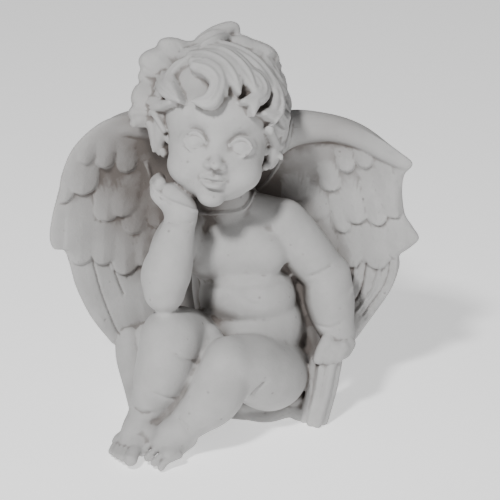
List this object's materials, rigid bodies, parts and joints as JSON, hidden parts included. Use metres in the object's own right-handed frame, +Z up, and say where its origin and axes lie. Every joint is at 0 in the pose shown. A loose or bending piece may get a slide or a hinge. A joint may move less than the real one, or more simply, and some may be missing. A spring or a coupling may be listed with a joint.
{
  "type": "stone putto statue",
  "caption": "Seated winged putto in cast stone, one hand at its cheek and the other on gathered cloth, on a low cloth-covered base.",
  "frame": {"origin": "on the floor under the middle of the seat, in the base's flat underside", "axes": "+Z up, the figure faces -Y, and +X is the viewer's right (the figure's left)"},
  "size_m": [0.228, 0.1346, 0.25],
  "materials": {
    "cast_stone": "matt light grey casting with a faint sheen on its high places and dark dust in its hollows"
  },
  "bodies": {
    "root": {"putto_statue": "cast_stone"}
  },
  "joints": []
}
